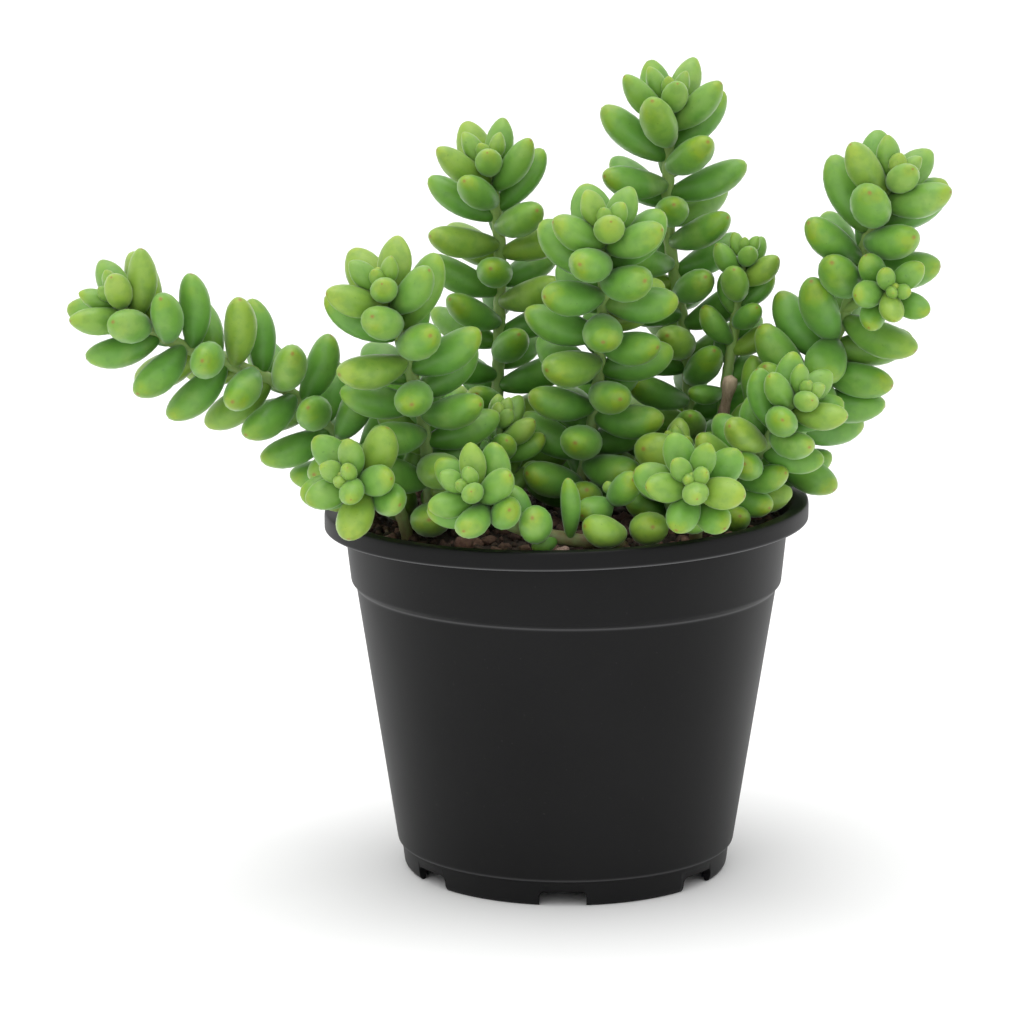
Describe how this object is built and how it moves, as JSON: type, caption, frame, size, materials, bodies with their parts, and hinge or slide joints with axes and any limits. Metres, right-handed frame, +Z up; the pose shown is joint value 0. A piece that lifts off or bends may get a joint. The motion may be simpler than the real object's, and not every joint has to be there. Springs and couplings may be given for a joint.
{
  "type": "potted plant",
  "caption": "Potted burro's tail succulent: upright and trailing shoots of plump green leaves in a round black plastic nursery pot filled with gritty soil.",
  "frame": {"origin": "centre of the pot's flat standing disc, on the ground", "axes": "+Z up along the pot's axis, -Y towards the front that the low rosettes face, -X towards the long trailing shoot"},
  "size_m": [0.231, 0.144, 0.2165],
  "materials": {
    "plastic": "matte",
    "soil": "matte",
    "pumice": "matte",
    "dry_stem": "matte",
    "leaf": "satin",
    "loose_leaf": "satin"
  },
  "bodies": {
    "root": {"pot": "plastic", "soil": "soil", "pumice_1": "pumice", "pumice_2": "pumice", "pumice_3": "pumice", "pumice_4": "pumice", "pumice_5": "pumice", "pumice_6": "pumice", "pumice_7": "pumice", "pumice_8": "pumice", "dry_stub": "dry_stem", "rosette_back": "leaf", "rosette_back_left": "leaf", "rosette_back_right": "leaf", "rosette_front": "leaf", "rosette_left": "leaf", "rosette_right": "leaf", "shoot_back_left": "leaf", "shoot_centre": "leaf", "shoot_inner_left": "leaf", "shoot_inner_right": "leaf", "shoot_left": "leaf", "shoot_low_right": "leaf", "shoot_right": "leaf", "shoot_small": "leaf", "shoot_tall": "leaf", "shoot_trailing": "leaf", "sprout_front": "leaf", "loose_leaf_1": "loose_leaf", "loose_leaf_2": "loose_leaf", "loose_leaf_3": "loose_leaf", "loose_leaf_4": "loose_leaf", "loose_leaf_5": "loose_leaf"}
  },
  "joints": []
}
